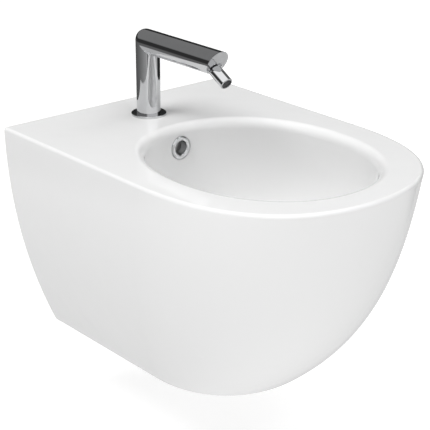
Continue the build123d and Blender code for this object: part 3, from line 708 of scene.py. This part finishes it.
height = worked_out("DEGREES", worked_out("ARCSINE", direction.outputs[2]))
bearing = worked_out("DEGREES", worked_out("ARCTAN2", direction.outputs[0], direction.outputs[1]))
UPPER, LOWER = 0.0, 0.92
dome_light = node(
    tree, "MapRange", {"Value": height, "From Min": -15, "From Max": 15, "To Min": LOWER, "To Max": UPPER}
).outputs[0]
dome = tree.nodes["Background"]
tree.links.new(dome_light, dome.inputs["Color"])
print("dome light above and below:", UPPER, LOWER)

# %% Cards that the chrome mirrors
def between(value, low, high, soft):
    """1 where a value lies between two limits, with soft edges, and 0 elsewhere."""
    edges = []
    for limit, start, end in ((low, 0.0, 1.0), (high, 1.0, 0.0)):
        edge = node(
            tree,
            "MapRange",
            {
                "Value": value,
                "From Min": limit - soft,
                "From Max": limit + soft,
                "To Min": start,
                "To Max": end,
            },
            interpolation_type="SMOOTHSTEP",
        )
        edges.append(edge.outputs[0])
    return worked_out("MULTIPLY", *edges)


# the tube's left side fades slowly and then faster towards the light
along_left = node(
    tree, "MapRange", {"Value": bearing, "From Min": 38, "From Max": -116, "To Min": 0.0, "To Max": 1.0}
).outputs[0]
left_fade = worked_out("ADD", worked_out("MULTIPLY", worked_out("POWER", along_left, 2.4), 0.29), 0.11)
ANY = (-200, 200)
cards = (
    # brightness, lowest and highest height, first and last bearing, softness in degrees
    (0.60, (-100, -9), ANY, 3),
    (0.62, (-100, -24), ANY, 2),
    (left_fade, (-24, -9), (-128, 38), 2),
    (0.20, (-26, 0), (-176, -134), 4),
    (0.25, (14, 50), (-200, 200), 2),
    (1.0, (-9, 50), (125, 200), 8),
    (1.0, (-9, 50), (-200, -125), 8),
    (0.04, (-10, 15), (-128, 72), 3),
    (0.03, (-19, 25), (26, 76), 2),
    (0.03, (-26, 57), (74, 118), 3),
    (1.3, (24, 100), (-128, -58), 3),
    (1.3, (61, 100), ANY, 3),
)
room = 0.75
for light, heights, bearings, soft in cards:
    mask = worked_out("MULTIPLY", between(height, *heights, soft), between(bearing, *bearings, soft))
    room = node(tree, "Mix", {0: mask, 2: room, 3: light}, data_type="FLOAT").outputs[0]
mirrored = node(tree, "Background", {"Color": room})
ray = node(tree, "LightPath").outputs
both = node(tree, "MixShader", {0: ray["Is Glossy Ray"], 1: dome.outputs[0], 2: mirrored.outputs[0]})
# the camera itself sees plain white beyond the floor
paper = node(tree, "Background", {"Color": (1, 1, 1, 1)})
seen = node(tree, "MixShader", {0: ray["Is Camera Ray"], 1: both.outputs[0], 2: paper.outputs[0]})
tree.links.new(seen.outputs[0], tree.nodes["World Output"].inputs["Surface"])
print("cards:", len(cards))

# %% [markdown]
# ## The lamps
# The tap's shadow on the deck tells where the main light is: it leaves the tube to the right
# and is two thirds as long as the tap is high, so the light comes from the left, about 60
# degrees up. The others fill the top, the front, the sides and the underside. Their strengths
# were solved by least squares against the china's tones in the photograph and then changed.
# All are far away, so that they light evenly, and mirror rays skip them, because the
# chrome has cards of its own to mirror.

# %% Lamps
def soft_lamp(name, bearing, height, distance, size, strength):
    """A square soft lamp that faces the bidet, with its strength given at the bidet."""
    lamp = bpy.data.lights.new(name, "AREA")
    lamp.energy, lamp.size = strength * pi * distance**2, size
    holder = bpy.data.objects.new(name, lamp)
    bpy.context.collection.objects.link(holder)
    flat = cos(radians(height))
    away = Vector((sin(radians(bearing)) * flat, cos(radians(bearing)) * flat, sin(radians(height))))
    holder.location = Vector((0, -0.2, 0)) + away * distance
    holder.rotation_mode = "QUATERNION"
    holder.rotation_quaternion = (-away).to_track_quat("-Z", "Y")
    holder.visible_glossy = False
    print(name, "power:", round(lamp.energy), "W")


LAMP_DISTANCE, LAMP_SIZE = 4.0, 2.0
lamps = (
    # name, bearing, height, strength
    ("main_lamp", -75, 60, 2.2),
    ("top_lamp", 0, 88, 0.42),
    ("front_top", 180, 60, 0.83),
    ("right_top", 120, 60, 0.55),
    ("left_side", -90, 35, 0.32),
    ("right_side", 90, 35, 0.43),
    ("behind_right", 45, 10, 0.13),
    ("front_level", 180, 10, 0.56),
    ("front_low", -135, -20, 0.72),
)
for name, bearing_of_lamp, height_of_lamp, strength in lamps:
    soft_lamp(name, bearing_of_lamp, height_of_lamp, LAMP_DISTANCE, LAMP_SIZE, strength)
